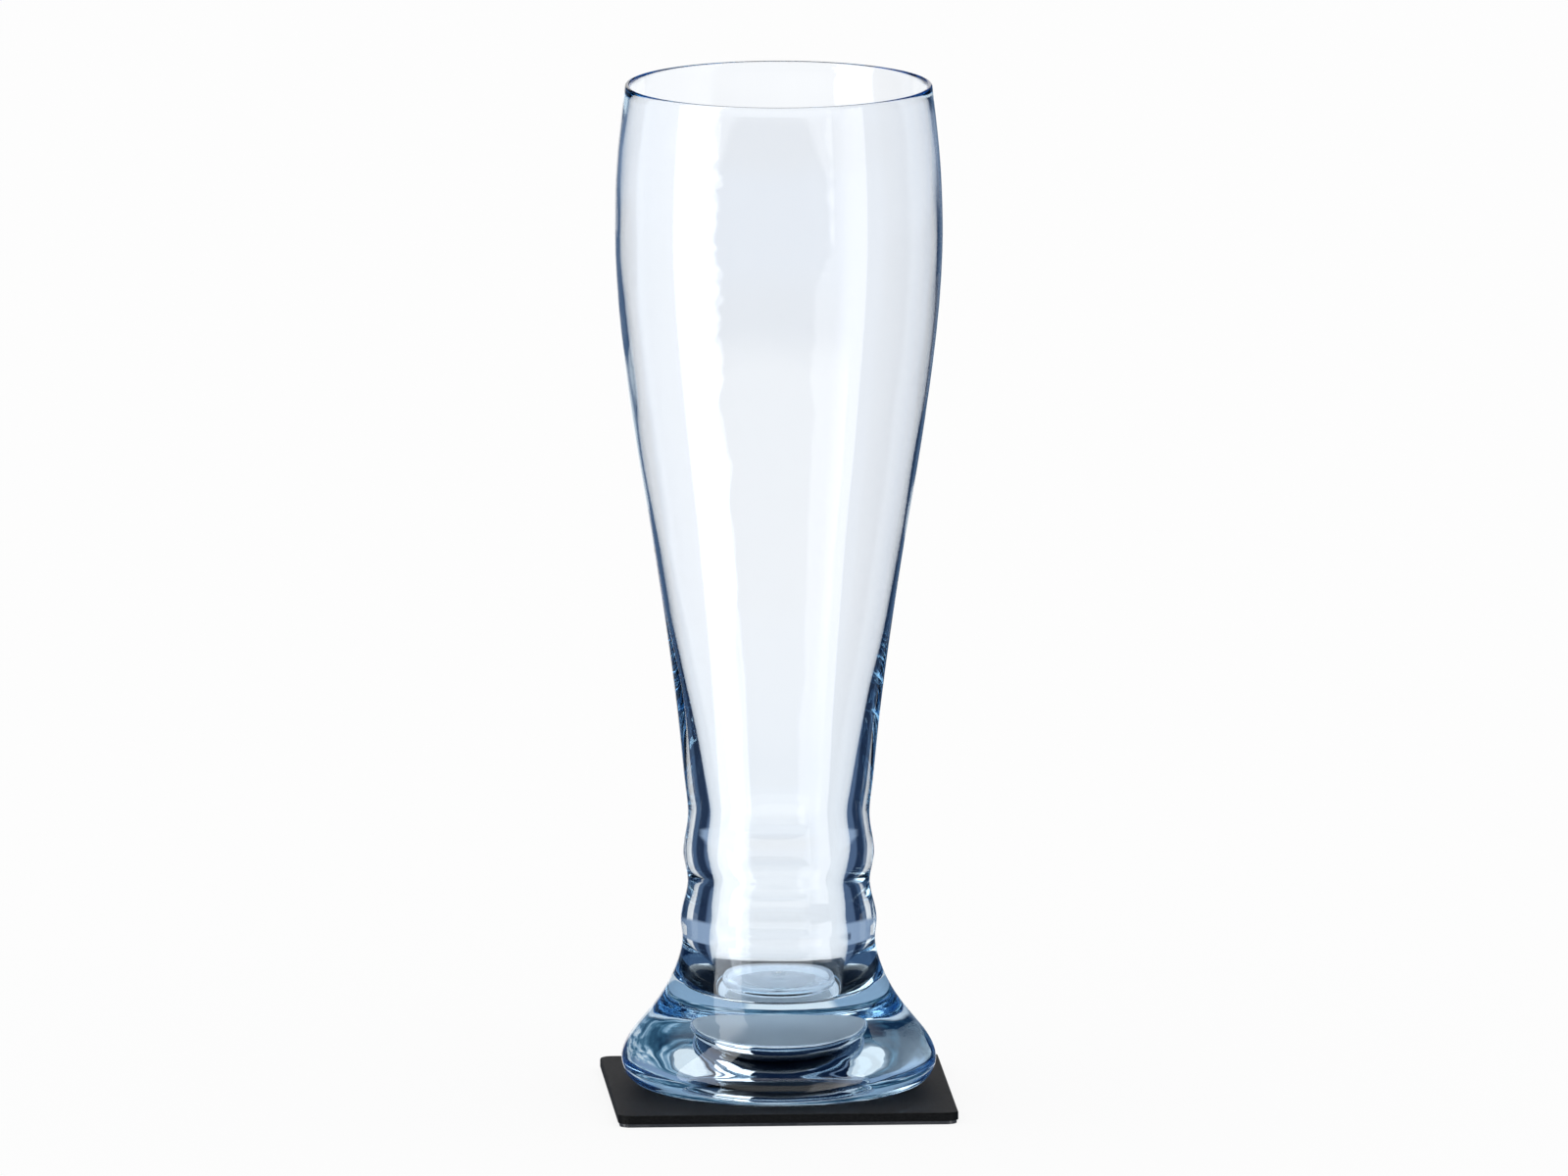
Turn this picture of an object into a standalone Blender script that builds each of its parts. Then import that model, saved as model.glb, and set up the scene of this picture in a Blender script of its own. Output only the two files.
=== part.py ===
"""Tall wheat beer glass with a magnet in its foot, standing on a square magnetic coaster.

Metres, +Z up. The origin is on the table, under the middle of the coaster and on the axis of the glass.
"""

import math
from bisect import bisect_right

import bmesh
import bpy

# Clearances between pieces that seat on each other, and between thin layers of one stack
SEAT_GAP = 0.0003
LAYER_GAP = 0.0001

# Glass, outside. The rises add up from the lower groove to the waist.
GLASS_HEIGHT = 0.2500
RIM_DIAMETER = 0.0760
BELLY_DIAMETER = 0.0812
BELLY_BELOW_RIM = 0.0400
WAIST_DIAMETER = 0.0448
WAIST_RISE = 0.0092
UPPER_BEAD_DIAMETER = 0.0475
UPPER_BEAD_RISE = 0.0074
UPPER_GROOVE_DIAMETER = 0.0448
UPPER_GROOVE_RISE = 0.0091
LOWER_BEAD_DIAMETER = 0.0487
LOWER_BEAD_RISE = 0.0053
LOWER_GROOVE_DIAMETER = 0.0476
LOWER_GROOVE_HEIGHT = 0.0365
FOOT_DIAMETER = 0.0780
FOOT_EDGE_RADIUS = 0.0068
FOOT_RING_WIDTH = 0.0025
UNDERSIDE_RISE = 0.0042

# Glass, inside
BOWL_WALL = 0.0013
WAIST_WALL = 0.0054
UPPER_BEAD_WALL = 0.0058
UPPER_GROOVE_WALL = 0.0062
THICKENING_LENGTH = 0.0570
WELL_DIAMETER = 0.0340
WELL_CORNER_RADIUS = 0.0015
WELL_FLOOR_HEIGHT = 0.0210

# Bends of the outline: share of the way along a stretch, share of its change in radius
BOWL_BEND = ((0.55, 0.27),)
TAPER_BEND = ((0.06, 0.05), (0.18, 0.145), (0.45, 0.44), (0.70, 0.765))
FLARE_BEND = ((0.22, 0.10), (0.42, 0.28), (0.54, 0.434), (0.65, 0.605), (0.77, 0.80), (0.886, 0.94))

# Magnet, the housing that swells out above it, the bond round the housing and the cover below
MAGNET_DIAMETER = 0.0200
MAGNET_THICKNESS = 0.0024
HOUSING_WALL = 0.0029
HOUSING_SWELL = 0.0024
HOUSING_ROOF = 0.0012
HOUSING_EDGE_RADIUS = 0.0009
BOND_THICKNESS = 0.0003
FOOT_COVER_THICKNESS = 0.0008
FOOT_COVER_RIM = 0.0028

# Coaster
COASTER_SIDE = 0.0840
COASTER_CORNER_RADIUS = 0.0030
COASTER_EDGE_ROUND = 0.0004
COASTER_SKIN = 0.0012
PLATE_THICKNESS = 0.0008
PLATE_BORDER = 0.0050
GEL_THICKNESS = 0.0008
GEL_INSET = 0.0004

# Fineness of the round shapes
TURN_STEPS = 40
SPAN_STEPS = 3
ARC_STEPS = 6
CORNER_STEPS = 6
EDGE_STEPS = 2
MERGE_DISTANCE = 0.000001
SHARP_ANGLE = math.radians(40)

# Heights in the glass, above the ring that it stands on
LOWER_BEAD_HEIGHT = LOWER_GROOVE_HEIGHT + LOWER_BEAD_RISE
UPPER_GROOVE_HEIGHT = LOWER_BEAD_HEIGHT + UPPER_GROOVE_RISE
UPPER_BEAD_HEIGHT = UPPER_GROOVE_HEIGHT + UPPER_BEAD_RISE
WAIST_HEIGHT = UPPER_BEAD_HEIGHT + WAIST_RISE
BELLY_HEIGHT = GLASS_HEIGHT - BELLY_BELOW_RIM
HOUSING_BASE = UNDERSIDE_RISE + LAYER_GAP
HOUSING_HEIGHT = MAGNET_THICKNESS + LAYER_GAP + HOUSING_ROOF
BOND_HEIGHT = HOUSING_HEIGHT + LAYER_GAP + BOND_THICKNESS
POCKET_ROOF = HOUSING_BASE + BOND_HEIGHT + LAYER_GAP

# Radii in the foot
HOUSING_BORE = MAGNET_DIAMETER / 2 + SEAT_GAP
HOUSING_FOOT_RADIUS = HOUSING_BORE + HOUSING_WALL
HOUSING_RADIUS = HOUSING_FOOT_RADIUS + HOUSING_SWELL
BOND_RADIUS = HOUSING_RADIUS + SEAT_GAP + BOND_THICKNESS
POCKET_RADIUS = BOND_RADIUS + LAYER_GAP
RING_RADIUS = FOOT_DIAMETER / 2 - FOOT_EDGE_RADIUS
HOLLOW_RADIUS = RING_RADIUS - FOOT_RING_WIDTH

# Heights in the coaster, above the table
COVER_BASE = GEL_THICKNESS + LAYER_GAP
COVER_HEIGHT = PLATE_THICKNESS + LAYER_GAP + COASTER_SKIN
GLASS_BASE = COVER_BASE + COVER_HEIGHT + SEAT_GAP


def clear_scene():
    for obj in list(bpy.data.objects):
        bpy.data.objects.remove(obj, do_unlink=True)


def material(name, colour, roughness, metallic=0.0, transmission=0.0, ior=1.5):
    made = bpy.data.materials.new(name)
    made.use_nodes = True
    shader = made.node_tree.nodes["Principled BSDF"]
    shader.inputs["Base Color"].default_value = (*colour, 1.0)
    shader.inputs["Roughness"].default_value = roughness
    shader.inputs["Metallic"].default_value = metallic
    shader.inputs["Transmission Weight"].default_value = transmission
    shader.inputs["IOR"].default_value = ior
    made.diffuse_color = (*colour, 1.0)
    return made


def anchor(name, height):
    """An empty on the glass's axis that carries the pieces of one body."""
    empty = bpy.data.objects.new(name, None)
    empty.location.z = height
    bpy.context.scene.collection.objects.link(empty)
    return empty


def add_solid(name, bm, look, parent, height=0.0):
    """Turn the bmesh into a smooth-shaded object, set at a height above its parent."""
    bmesh.ops.recalc_face_normals(bm, faces=bm.faces)
    mesh = bpy.data.meshes.new(name)
    bm.to_mesh(mesh)
    bm.free()
    mesh.shade_smooth()
    mesh.set_sharp_from_angle(angle=SHARP_ANGLE)
    mesh.materials.append(look)
    obj = bpy.data.objects.new(name, mesh)
    bpy.context.scene.collection.objects.link(obj)
    obj.parent = parent
    obj.location.z = height
    return obj


def turned(outline):
    """Spin an outline of (radius, height) points, which runs from the axis round to the axis."""
    bm = bmesh.new()
    points = [bm.verts.new((radius, 0.0, height)) for radius, height in outline]
    edges = [bm.edges.new(pair) for pair in zip(points, points[1:])]
    bmesh.ops.spin(
        bm,
        geom=points + edges,
        cent=(0, 0, 0),
        axis=(0, 0, 1),
        angle=2 * math.pi,
        steps=TURN_STEPS,
    )
    bmesh.ops.remove_doubles(bm, verts=bm.verts, dist=MERGE_DISTANCE)
    return bm


def slab(side, thickness, corner_radius):
    """A square slab that stands on height 0, with rounded upright edges."""
    bm = bmesh.new()
    bmesh.ops.create_cube(bm, size=1.0)
    bmesh.ops.scale(bm, vec=(side, side, thickness), verts=bm.verts)
    bmesh.ops.translate(bm, vec=(0, 0, thickness / 2), verts=bm.verts)
    upright = [e for e in bm.edges if e.verts[0].co.z != e.verts[1].co.z]
    bmesh.ops.bevel(
        bm,
        geom=upright,
        offset=corner_radius,
        offset_type="OFFSET",
        segments=CORNER_STEPS,
        profile=0.5,
        affect="EDGES",
    )
    return bm


def between(start, end, steps):
    """Even steps from one value to another, both included."""
    return [start + (end - start) * step / steps for step in range(steps + 1)]


def arc(centre, radius, start, end):
    """Points of an arc in the outline's plane, from one angle to another."""
    angles = between(start, end, ARC_STEPS)
    return [(centre[0] + radius * math.cos(a), centre[1] + radius * math.sin(a)) for a in angles]


def shifted(points, right, up):
    return [(radius + right, height + up) for radius, height in points]


def bend(low, high, shares):
    """Stations between two (height, radius) stations, at shares of the way and of the change."""
    (h0, r0), (h1, r1) = low, high
    return [(h0 + (h1 - h0) * along, r0 + (r1 - r0) * change) for along, change in shares]


def smooth_curve(stations):
    """A smooth curve through (height, value) stations, upright at the lowest one and at each turn."""
    heights, values = zip(*stations)
    spans = [b - a for a, b in zip(heights, heights[1:])]
    grades = [(b - a) / span for a, b, span in zip(values, values[1:], spans)]
    slopes = [0.0]
    for below, above, span_below, span_above in zip(grades, grades[1:], spans, spans[1:]):
        mean = (below * span_above + above * span_below) / (span_below + span_above)
        slopes.append(mean if below * above > 0 else 0.0)
    slopes.append(grades[-1])

    def value_at(height):
        i = min(max(bisect_right(heights, height) - 1, 0), len(spans) - 1)
        t = (height - heights[i]) / spans[i]
        start = (1 + 2 * t) * (1 - t) ** 2 * values[i] + t * (1 - t) ** 2 * spans[i] * slopes[i]
        end = t**2 * (3 - 2 * t) * values[i + 1] + t**2 * (t - 1) * spans[i] * slopes[i + 1]
        return start + end

    return value_at


def sampled_heights(stations):
    """Every station's height, with even steps between neighbours."""
    heights = [height for height, _ in stations]
    spans = [between(low, high, SPAN_STEPS)[:-1] for low, high in zip(heights, heights[1:])]
    return [height for span in spans for height in span] + [heights[-1]]


def outer_stations():
    """(height, radius) of the glass's outside, from the foot's widest place up to the lip."""
    foot = (FOOT_EDGE_RADIUS, FOOT_DIAMETER / 2)
    groove = (LOWER_GROOVE_HEIGHT, LOWER_GROOVE_DIAMETER / 2)
    waist = (WAIST_HEIGHT, WAIST_DIAMETER / 2)
    belly = (BELLY_HEIGHT, BELLY_DIAMETER / 2)
    lip = (GLASS_HEIGHT - BOWL_WALL / 2, RIM_DIAMETER / 2)
    return [
        foot,
        *reversed(bend(groove, foot, FLARE_BEND)),
        groove,
        (LOWER_BEAD_HEIGHT, LOWER_BEAD_DIAMETER / 2),
        (UPPER_GROOVE_HEIGHT, UPPER_GROOVE_DIAMETER / 2),
        (UPPER_BEAD_HEIGHT, UPPER_BEAD_DIAMETER / 2),
        waist,
        *bend(waist, belly, TAPER_BEND),
        belly,
        *bend(belly, lip, BOWL_BEND),
        lip,
    ]


def wall_stations():
    """(height, wall) from the lower bead, where the well is straight, up to the lip."""
    return [
        (LOWER_BEAD_HEIGHT, LOWER_BEAD_DIAMETER / 2 - WELL_DIAMETER / 2),
        (UPPER_GROOVE_HEIGHT, UPPER_GROOVE_WALL),
        (UPPER_BEAD_HEIGHT, UPPER_BEAD_WALL),
        (WAIST_HEIGHT, WAIST_WALL),
        (WAIST_HEIGHT + THICKENING_LENGTH, BOWL_WALL),
        (GLASS_HEIGHT, BOWL_WALL),
    ]


def underside(radius):
    """Height of the domed hollow under the foot, from the ring's inner edge up to the pocket's mouth."""
    return UNDERSIDE_RISE * (HOLLOW_RADIUS**2 - radius**2) / (HOLLOW_RADIUS**2 - POCKET_RADIUS**2)


def glass_outline():
    """From the middle of the well's floor, over the lip and down to the middle of the pocket's roof."""
    stations = outer_stations()
    outer = smooth_curve(stations)
    wall = smooth_curve(wall_stations())
    heights = sampled_heights(stations)

    well_radius = WELL_DIAMETER / 2
    corner_top = WELL_FLOOR_HEIGHT + WELL_CORNER_RADIUS
    corner_middle = (well_radius - WELL_CORNER_RADIUS, corner_top)
    well = [(0.0, WELL_FLOOR_HEIGHT), *arc(corner_middle, WELL_CORNER_RADIUS, -math.pi / 2, 0.0)]
    above_well = max(LOWER_BEAD_HEIGHT, corner_top + LAYER_GAP)
    inside = [(outer(z) - wall(z), z) for z in heights if z >= above_well]

    lip_radius = BOWL_WALL / 2
    lip_middle = (RIM_DIAMETER / 2 - lip_radius, GLASS_HEIGHT - lip_radius)
    lip = arc(lip_middle, lip_radius, math.pi, 0.0)
    outside = [(outer(z), z) for z in reversed(heights)]

    edge = arc((RING_RADIUS, FOOT_EDGE_RADIUS), FOOT_EDGE_RADIUS, 0.0, -math.pi / 2)
    hollow = [(r, underside(r)) for r in between(HOLLOW_RADIUS, POCKET_RADIUS, ARC_STEPS)]
    pocket = [(POCKET_RADIUS, POCKET_ROOF), (0.0, POCKET_ROOF)]
    return well + inside[:-1] + lip + outside[1:] + edge[1:] + hollow + pocket


def make_glass(parent):
    look = material("clear_glass", (0.90, 0.95, 0.98), 0.03, transmission=1.0, ior=1.52)
    add_solid("glass_vessel", turned(glass_outline()), look, parent)


def disc(radius, thickness):
    return turned([(0.0, thickness), (radius, thickness), (radius, 0.0), (0.0, 0.0)])


def housing_shoulder():
    """The rounded top edge of the housing, from its flat top out to its widest place."""
    middle = (HOUSING_RADIUS - HOUSING_EDGE_RADIUS, HOUSING_HEIGHT - HOUSING_EDGE_RADIUS)
    return arc(middle, HOUSING_EDGE_RADIUS, math.pi / 2, 0.0)


def housing_side():
    """The bowed side, upright at the widest place and drawn in to the housing's foot."""
    height = HOUSING_HEIGHT - HOUSING_EDGE_RADIUS
    radius = (HOUSING_SWELL**2 + height**2) / (2 * HOUSING_SWELL)
    return arc((HOUSING_RADIUS - radius, height), radius, 0.0, -math.asin(height / radius))


def cover_outline():
    """A flat disc across the pocket's mouth, with a rim that follows the hollow underside."""
    rim_radius = POCKET_RADIUS + FOOT_COVER_RIM
    top = [(0.0, UNDERSIDE_RISE), (POCKET_RADIUS, UNDERSIDE_RISE), (rim_radius, underside(rim_radius))]
    top = shifted(top, 0.0, -LAYER_GAP)
    return top + shifted(reversed(top), 0.0, -FOOT_COVER_THICKNESS)


def make_magnet(parent):
    """The magnet in its housing, the clear bond that fills the pocket round it, and the cover below."""
    cover_look = material("cover_polymer", (0.05, 0.05, 0.055), 0.5)
    add_solid("foot_cover", turned(cover_outline()), cover_look, parent)

    magnet_look = material("nickel_plate", (0.55, 0.55, 0.54), 0.25, metallic=1.0)
    magnet = disc(MAGNET_DIAMETER / 2, MAGNET_THICKNESS)
    add_solid("magnet_disc", magnet, magnet_look, parent, HOUSING_BASE)

    bore_top = HOUSING_HEIGHT - HOUSING_ROOF
    bore = [(HOUSING_BORE, 0.0), (HOUSING_BORE, bore_top), (0.0, bore_top)]
    shoulder = housing_shoulder()
    side = housing_side()
    housing = turned([(0.0, HOUSING_HEIGHT), *shoulder, *side[1:], *bore])
    steel_look = material("polished_steel", (0.66, 0.68, 0.70), 0.12, metallic=1.0)
    add_solid("magnet_housing", housing, steel_look, parent, HOUSING_BASE)

    inside_bond = [
        *shifted(reversed(side), SEAT_GAP, 0.0),
        *shifted(reversed(shoulder), SEAT_GAP, LAYER_GAP),
        (0.0, HOUSING_HEIGHT + LAYER_GAP),
    ]
    bond = turned([(0.0, BOND_HEIGHT), (BOND_RADIUS, BOND_HEIGHT), (BOND_RADIUS, 0.0), *inside_bond])
    bond_look = material("clear_bond", (0.88, 0.92, 0.95), 0.1, transmission=1.0, ior=1.5)
    add_solid("bond_layer", bond, bond_look, parent, HOUSING_BASE)


def recess_cutter(parent, side, look):
    """The space for the steel plate, cut up into the coaster's cover from below."""
    depth = PLATE_THICKNESS + LAYER_GAP
    bm = slab(side, 2 * depth, COASTER_CORNER_RADIUS)
    bmesh.ops.translate(bm, vec=(0, 0, -depth), verts=bm.verts)
    cutter = add_solid("plate_recess_cutter", bm, look, parent, COVER_BASE)
    cutter.hide_render = True
    cutter.display_type = "WIRE"
    return cutter


def make_coaster(parent):
    """Grained cover on top, steel plate in its recess, grip sheet below."""
    recess_side = COASTER_SIDE - 2 * PLATE_BORDER
    cover = slab(COASTER_SIDE, COVER_HEIGHT, COASTER_CORNER_RADIUS)
    top_edges = [e for e in cover.edges if all(v.co.z > COVER_HEIGHT - LAYER_GAP for v in e.verts)]
    bmesh.ops.bevel(
        cover,
        geom=top_edges,
        offset=COASTER_EDGE_ROUND,
        offset_type="OFFSET",
        segments=EDGE_STEPS,
        profile=0.5,
        affect="EDGES",
    )
    cover_look = material("grained_black", (0.025, 0.026, 0.028), 0.75)
    cover_obj = add_solid("coaster_cover", cover, cover_look, parent, COVER_BASE)
    recess = cover_obj.modifiers.new("plate_recess", "BOOLEAN")
    recess.operation = "DIFFERENCE"
    recess.object = recess_cutter(parent, recess_side, cover_look)

    plate_look = material("sheet_steel", (0.42, 0.43, 0.44), 0.4, metallic=1.0)
    plate_corner = COASTER_CORNER_RADIUS - SEAT_GAP
    plate = slab(recess_side - 2 * SEAT_GAP, PLATE_THICKNESS, plate_corner)
    add_solid("coaster_steel_plate", plate, plate_look, parent, COVER_BASE)

    gel_look = material("grip_gel", (0.09, 0.09, 0.095), 0.35)
    gel = slab(COASTER_SIDE - 2 * GEL_INSET, GEL_THICKNESS, COASTER_CORNER_RADIUS - GEL_INSET)
    add_solid("coaster_gel_sheet", gel, gel_look, parent)


clear_scene()
glass_axis = anchor("glass_axis", GLASS_BASE)
coaster_base = anchor("coaster_base", 0.0)
make_glass(glass_axis)
make_magnet(glass_axis)
make_coaster(coaster_base)
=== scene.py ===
# %% [markdown]
# # A wheat beer glass on its magnetic coaster
# The solids of the glass, its magnet and its coaster come in as a fixed frame, in metres. This lesson turns them
# into what the eye sees: clear pressed glass, a polished magnet cup, a grained black coaster and a white studio.

# %% Load the frame
import math

import bmesh
import bpy
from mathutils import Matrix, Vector


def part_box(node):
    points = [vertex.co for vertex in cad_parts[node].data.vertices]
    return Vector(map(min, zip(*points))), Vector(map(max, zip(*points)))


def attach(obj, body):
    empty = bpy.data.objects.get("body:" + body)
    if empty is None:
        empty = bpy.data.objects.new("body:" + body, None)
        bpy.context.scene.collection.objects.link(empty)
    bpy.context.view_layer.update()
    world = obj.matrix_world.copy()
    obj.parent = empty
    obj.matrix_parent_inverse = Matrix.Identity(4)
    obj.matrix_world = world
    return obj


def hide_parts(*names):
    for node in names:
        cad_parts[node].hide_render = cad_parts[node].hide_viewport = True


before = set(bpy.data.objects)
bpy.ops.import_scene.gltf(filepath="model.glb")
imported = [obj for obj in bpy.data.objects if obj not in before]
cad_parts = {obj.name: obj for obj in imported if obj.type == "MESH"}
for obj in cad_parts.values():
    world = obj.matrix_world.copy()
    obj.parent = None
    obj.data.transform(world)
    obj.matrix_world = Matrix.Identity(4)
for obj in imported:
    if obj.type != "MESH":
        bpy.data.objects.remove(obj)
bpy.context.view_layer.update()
scene = bpy.context.scene
glass_low, glass_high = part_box("glass_vessel")
print("solids:", ", ".join(sorted(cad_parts)))
print("glass stands from", round(glass_low.z, 4), "to", round(glass_high.z, 4), "m")

# %% [markdown]
# ## The camera
# A long lens from far away flattens the picture: the rim and the foot are then seen at nearly the same slant, as they
# are in the photograph. A parallel camera would do too, but a long lens keeps the other views simple, because moving
# the camera is all they need. The aim point lies a hair to the right of the glass's axis, since the glass stands
# slightly left of the middle of the picture.

# %% Set up the camera
VIEW_SLANT = math.radians(9.6)
VIEW_TURN = math.radians(-3.5)
LENS_MM = 1000.0
CAMERA_DISTANCE = 10.75
AIM_HEIGHT = 0.1274
AIM_RIGHT = 0.00133


def add_camera():
    back = Vector((math.sin(VIEW_TURN) * math.cos(VIEW_SLANT), -math.cos(VIEW_TURN) * math.cos(VIEW_SLANT),
                   math.sin(VIEW_SLANT)))
    right = Vector((math.cos(VIEW_TURN), math.sin(VIEW_TURN), 0))
    data = bpy.data.cameras.new("studio_camera")
    data.lens = LENS_MM
    data.clip_end = 100.0
    camera = bpy.data.objects.new("studio_camera", data)
    scene.collection.objects.link(camera)
    camera.location = Vector((0, 0, AIM_HEIGHT)) + right * AIM_RIGHT + back * CAMERA_DISTANCE
    camera.rotation_euler = back.to_track_quat("Z", "Y").to_euler()
    scene.camera = camera
    return camera


camera = add_camera()
print("camera at", [round(v, 3) for v in camera.location])

# %% [markdown]
# ## Working by hand, in code
# Every operator acts on what is selected, so each step starts by clearing the selection. These small helpers open a
# piece in edit mode, pick its points, edges or faces by their place, and apply a modifier. The mesh could also be
# written point by point, but operators keep each step the same as it is by hand.

# %% Helpers for edit mode
CLOSE = 1e-6


def only(piece):
    """Select this piece alone and make it the active one."""
    if bpy.context.object and bpy.context.object.mode != "OBJECT":
        bpy.ops.object.mode_set(mode="OBJECT")
    bpy.ops.object.select_all(action="DESELECT")
    piece.select_set(True)
    bpy.context.view_layer.objects.active = piece


def open_piece(piece):
    only(piece)
    bpy.ops.object.mode_set(mode="EDIT")
    bpy.ops.mesh.select_all(action="SELECT")


def close_piece():
    bpy.ops.object.mode_set(mode="OBJECT")


def pick(piece, kind, wanted):
    """In edit mode, select the verts, edges or faces for which wanted() holds, and say how many."""
    bpy.ops.mesh.select_mode(type={"verts": "VERT", "edges": "EDGE", "faces": "FACE"}[kind])
    bpy.ops.mesh.select_all(action="DESELECT")
    mesh = bmesh.from_edit_mesh(piece.data)
    chosen = [e for e in getattr(mesh, kind) if wanted(e)]
    for e in chosen:
        e.select_set(True)
    mesh.select_flush_mode()
    bmesh.update_edit_mesh(piece.data)
    return len(chosen)


def finish_with(piece, kind, **settings):
    """Add a modifier, set it up and apply it."""
    only(piece)
    modifier = piece.modifiers.new(kind.lower(), kind)
    for key, value in settings.items():
        setattr(modifier, key, value)
    bpy.ops.object.modifier_apply(modifier=modifier.name)


def triangles(piece):
    return sum(len(p.vertices) - 2 for p in piece.data.polygons)


print("helpers ready, points closer than", CLOSE, "m count as one")

# %% [markdown]
# ## Turning a fine copy of a round solid
# The solids are turned in few steps, which is enough for their job and too coarse for polished glass. A round piece
# is its profile turned about the axis, so the profile is cut out of the solid with a bisect and spun again in many
# more steps. Its shape and size stay those of the solid. A subdivision surface could round the solid itself, but the
# facets of the few steps would stay visible in the reflections.

# %% Cut the profile out
SLICE = 1e-5


def copy_of(node, name):
    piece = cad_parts[node].copy()
    piece.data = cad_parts[node].data.copy()
    piece.name = piece.data.name = name
    piece.parent = None
    for key in list(piece.keys()):
        del piece[key]
    piece.data.materials.clear()
    scene.collection.objects.link(piece)
    open_piece(piece)
    bpy.ops.mesh.remove_doubles(threshold=CLOSE)
    close_piece()
    return piece


def keep_profile(piece):
    """Leave only the half profile of a turned piece, on the side where x is positive."""
    open_piece(piece)
    bpy.ops.mesh.bisect(plane_co=(0, 0, 0), plane_no=(0, 1, 0), clear_inner=True, clear_outer=True, threshold=SLICE)
    if pick(piece, "verts", lambda v: v.co.x < -CLOSE or abs(v.co.y) > 10 * SLICE):
        bpy.ops.mesh.delete(type="VERT")
    close_piece()


print("profiles are cut on the plane y = 0, within", SLICE, "m")

# %% [markdown]
# The spin leaves a seam where it meets its start, so doubles are merged and the normals recalculated. Corners that
# turn sharply, such as the edge of the pocket, are creased, so that the subdivision surface smooths the long curves
# of the glass and keeps those corners.

# %% Spin the profile again
CORNER_ANGLE = math.radians(50)
SMOOTH_ANGLE = math.radians(40)


def spin_profile(piece, steps):
    open_piece(piece)
    bpy.ops.mesh.spin(steps=steps, angle=math.tau, center=(0, 0, 0), axis=(0, 0, 1))
    bpy.ops.mesh.select_all(action="SELECT")
    bpy.ops.mesh.remove_doubles(threshold=CLOSE)
    bpy.ops.mesh.normals_make_consistent(inside=False)
    close_piece()


def crease_corners(piece):
    open_piece(piece)
    count = pick(piece, "edges", lambda e: len(e.link_faces) == 2 and e.calc_face_angle(0) > CORNER_ANGLE)
    if count:
        bpy.ops.transform.edge_crease(value=1.0)
    close_piece()
    return count


def turned_finely(node, name, steps, shape):
    piece = copy_of(node, name)
    keep_profile(piece)
    shape(piece)
    points = len(piece.data.vertices)
    spin_profile(piece, steps)
    sharp = crease_corners(piece)
    finish_with(piece, "SUBSURF", levels=1, render_levels=1)
    only(piece)
    bpy.ops.object.shade_smooth_by_angle(angle=SMOOTH_ANGLE)
    print(name, "profile points:", points, "creased edges:", sharp, "triangles:", triangles(piece))
    return piece


# %% [markdown]
# ## The magnet cup
# The cup that holds the magnet is a small turned steel part: a flat top with a rounded edge, and a side that swells
# out above a narrower foot. It could be built from a cylinder with bevels, but its outline is already in the solid,
# so the same cut and spin gives the fine piece. On the way, its outline is noted for the pocket of the glass.

# %% Turn the magnet cup
CUP_STEPS = 96
CONTACT = 0.00005
cup_points = []


def note_outline(profile):
    """Keep (radius, height) points just inside the cup's outline, from its foot up to the middle of its top."""
    points = sorted(((v.co.x, v.co.z) for v in profile.data.vertices), key=lambda p: (round(p[1], 6), -p[0]))
    top = points[-1][1]
    bore = min(x for x, z in points if x > CLOSE)
    widest = max(points)[1]
    for x, z in points:
        if x > bore + CLOSE or z > top - CLOSE:
            cup_points.append((max(x - CONTACT, 0), z - CONTACT if z > widest else z))


magnet_cup = turned_finely("magnet_housing", "magnet_cup", CUP_STEPS, note_outline)
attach(magnet_cup, "glass")
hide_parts("magnet_housing")

# %% [markdown]
# ## The glass
# Pressed and fire polished, the glass has no seams: bowl, beads and foot are one surface that runs over the lip, down
# the inside and over the floor of the well. The resin round the magnet cup is as clear as the glass and cured against
# it, so no border shows between them. The pocket is therefore drawn in edit mode onto the cup's own outline, a hair
# inside it, which leaves no film of air that would mirror the light.

# %% Turn the glass
GLASS_STEPS = 128
POCKET_MARGIN = 0.001


def draw_pocket(profile):
    """Replace the pocket's wall and roof by the outline of the cup that sits in it."""
    roof = min(v.co.z for v in profile.data.vertices if v.co.x < CLOSE)
    pocket_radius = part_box("bond_layer")[1].x + POCKET_MARGIN
    open_piece(profile)
    pick(profile, "verts", lambda v: abs(v.co.z - roof) < CLOSE and v.co.x < pocket_radius)
    bpy.ops.mesh.delete(type="VERT")
    pick(profile, "verts", lambda v: len(v.link_edges) == 1 and v.co.x > CLOSE)
    mouth = next(v for v in bmesh.from_edit_mesh(profile.data).verts if v.select)
    place = (mouth.co.x, mouth.co.z)
    for point in cup_points:
        step = (point[0] - place[0], 0, point[1] - place[1])
        bpy.ops.mesh.extrude_vertices_move(TRANSFORM_OT_translate={"value": step})
        place = point
    close_piece()
    print("pocket drawn onto the cup with", len(cup_points), "points")


beer_glass = turned_finely("glass_vessel", "beer_glass", GLASS_STEPS, draw_pocket)
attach(beer_glass, "glass")
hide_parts("glass_vessel", "bond_layer")

# %% [markdown]
# A pressed glass is smoother outside, where the mould was, than inside, where the plunger drew out of the hot glass.
# The finish needs to know which side of the wall it is on. A texture could guess that from the radius, but a mark on
# the mesh itself is surer: 1 where a face looks towards the axis, 0 elsewhere.

# %% Mark the inside of the wall
beer_glass.data.attributes.new("inside", "FLOAT", "POINT")
inside_marks = beer_glass.data.attributes["inside"].data
for v, mark in zip(beer_glass.data.vertices, inside_marks):
    mark.value = 1.0 if v.normal.x * v.co.x + v.normal.y * v.co.y < 0 else 0.0
print("points on the inside:", sum(mark.value > 0.5 for mark in inside_marks), "of", len(inside_marks))

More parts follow.
